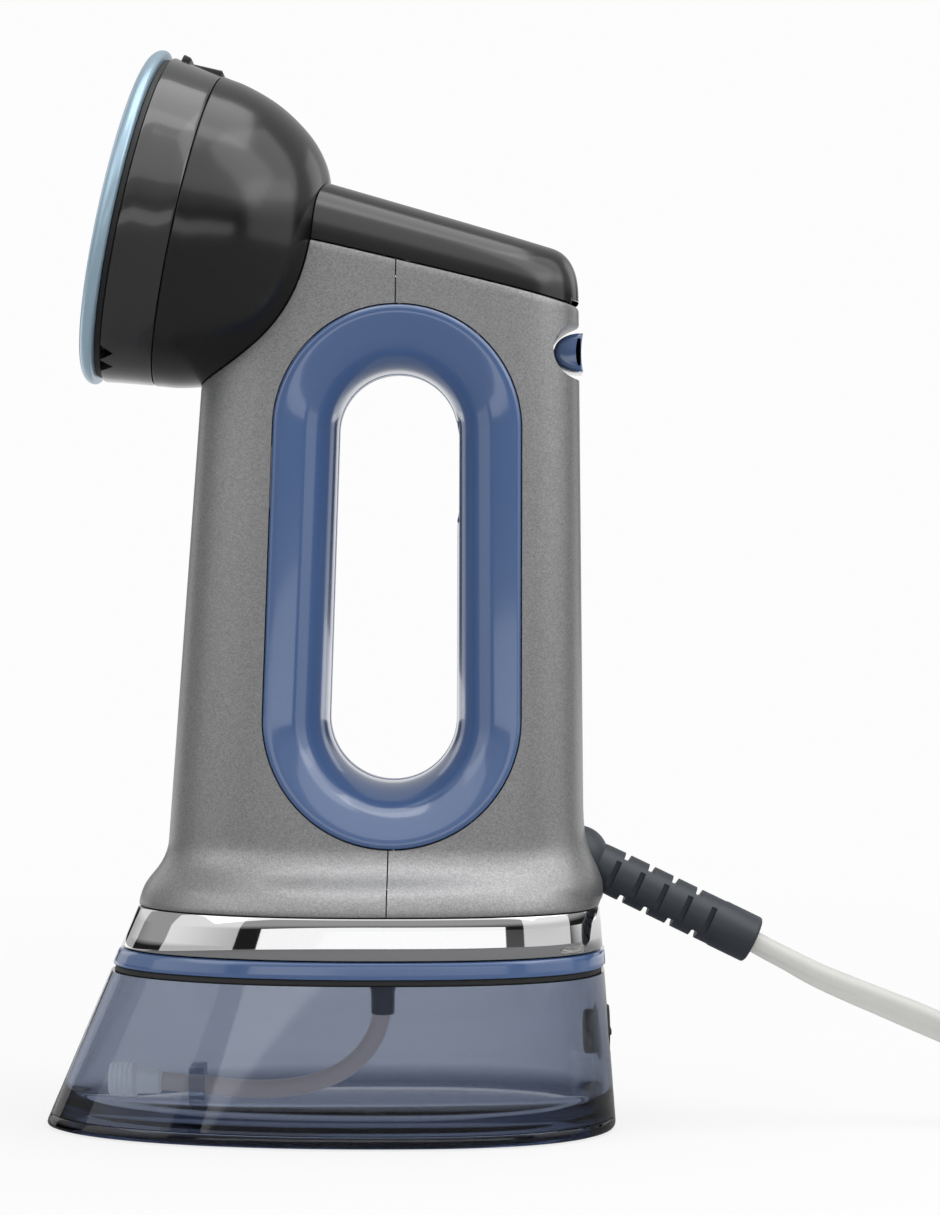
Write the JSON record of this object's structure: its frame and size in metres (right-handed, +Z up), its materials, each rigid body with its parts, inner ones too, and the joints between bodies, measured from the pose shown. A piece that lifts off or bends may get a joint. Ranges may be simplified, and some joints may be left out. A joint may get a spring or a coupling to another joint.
{
  "type": "garment steamer",
  "caption": "Upright hand-held garment steamer: round tilted steam head, looped handle with trigger, chrome band, lift-off clear water tank and coiled mains cord.",
  "frame": {"origin": "centre of the underside of the tank's foot, on the surface the steamer stands on, measured without the cord", "axes": "+Z up; -X is the side the steam head looks at; +X is the side the mains cord leaves; +Y the far side; the object is symmetric about Y = 0"},
  "size_m": [0.3704, 0.1223, 0.2798],
  "materials": {
    "sole_blue": "satin ceramic-look coating on the cast soleplate",
    "seal_black": "matte moulded rubber",
    "graphite_gloss": "high gloss graphite",
    "head_black": "piano black gloss",
    "strip_black": "deep black gloss inlay",
    "black_satin": "satin black",
    "cast_aluminium": "as cast",
    "sheath_steel": "heat-darkened sheath",
    "bright_steel": "zinc plated",
    "spring_steel": "drawn wire",
    "fuse_sleeve": "woven glass sleeve",
    "lens_clear": "clear light pipe",
    "silver_paint": "silver grey flake paint on plastic, satin",
    "blue_gloss": "gloss dusty blue",
    "liner_blue": "gloss lavender blue",
    "trigger_blue": "satin dark blue",
    "switch_black": "matte moulded",
    "board_green": "solder mask",
    "pump_plastic": "moulded nylon",
    "tube_silicone": "translucent silicone",
    "frame_black": "matte moulded",
    "band_chrome": "mirror plated",
    "port_white": "moulded",
    "lid_navy": "dark navy",
    "tank_smoke": "clear smoky blue plastic, gloss",
    "foot_smoke": "thick smoky plastic, gloss",
    "fitting_navy": "navy moulded",
    "filter_white": "translucent white",
    "clip_smoke": "smoky plastic",
    "boot_slate": "satin slate rubber",
    "cord_grey": "satin light grey sheath",
    "tie_black": "nylon tie",
    "plug_grey": "moulded light grey",
    "blade_nickel": "nickel plated"
  },
  "bodies": {
    "housing": {"soleplate": "sole_blue", "soleplate_gasket": "seal_black", "front_ring": "graphite_gloss", "attachment_catch": "black_satin", "head_bowl": "head_black", "heater_block": "cast_aluminium", "steam_chamber_cover": "cast_aluminium", "heating_element": "sheath_steel", "thermostat": "bright_steel", "thermal_fuse": "fuse_sleeve", "heater_screws": "bright_steel", "top_cover": "head_black", "control_strip": "strip_black", "indicator_lens": "lens_clear", "front_shell": "silver_paint", "rear_shell": "silver_paint", "shell_screws": "bright_steel", "left_bezel": "blue_gloss", "right_bezel": "blue_gloss", "handle_liner": "liner_blue", "trigger_spring": "spring_steel", "trigger_switch": "switch_black", "thumb_switch": "switch_black", "circuit_board": "board_green", "pump": "pump_plastic", "pump_mounts": "seal_black", "suction_tube": "tube_silicone", "water_tube": "tube_silicone", "base_frame": "frame_black", "chrome_band": "band_chrome", "water_port": "port_white", "port_seal": "seal_black", "cord_clamp": "frame_black", "clamp_screws": "bright_steel", "cord_boot": "boot_slate", "cord_lead": "cord_grey", "cord_coil": "cord_grey", "coil_tie": "tie_black", "cord_tail": "cord_grey", "plug_body": "plug_grey", "plug_blades": "blade_nickel"},
    "tank": {"tank_collar": "blue_gloss", "tank_lid": "lid_navy", "tank_gasket": "seal_black", "tank_shell": "tank_smoke", "tank_foot": "foot_smoke", "outlet_fitting": "fitting_navy", "pickup_hose": "tube_silicone", "hose_filter": "filter_white", "hose_clip": "clip_smoke", "latch_spring": "spring_steel"},
    "tank_latch": {"tank_latch": "blue_gloss"},
    "fill_plug": {"fill_plug": "seal_black"},
    "trigger": {"trigger": "trigger_blue"},
    "thumb_lever": {"thumb_lever": "blue_gloss"},
    "power_button": {"power_button": "black_satin"}
  },
  "joints": [
    {"name": "tank_slide", "type": "slide", "parent": "housing", "child": "tank", "axis": [0, 0, -1], "range_m": [0, 0.05]},
    {"name": "tank_latch_press", "type": "slide", "parent": "tank", "child": "tank_latch", "axis": [-1, 0, 0], "range_m": [0, 0.002], "stiffness_N_per_m": 250},
    {"name": "fill_plug_pull", "type": "slide", "parent": "tank", "child": "fill_plug", "axis": [1, 0, 0], "range_m": [0, 0.012]},
    {"name": "trigger_press", "type": "slide", "parent": "housing", "child": "trigger", "axis": [1, 0, 0], "range_m": [0, 0.003], "stiffness_N_per_m": 400},
    {"name": "thumb_lever_roll", "type": "hinge", "parent": "housing", "child": "thumb_lever", "pos_m": [0.0651, 0, 0.201], "axis": [0, 1, 0], "range_deg": [-16, 16]},
    {"name": "power_button_press", "type": "slide", "parent": "housing", "child": "power_button", "axis": [-0.279, 0, -0.9603], "range_m": [0, 0.001], "stiffness_N_per_m": 300}
  ]
}
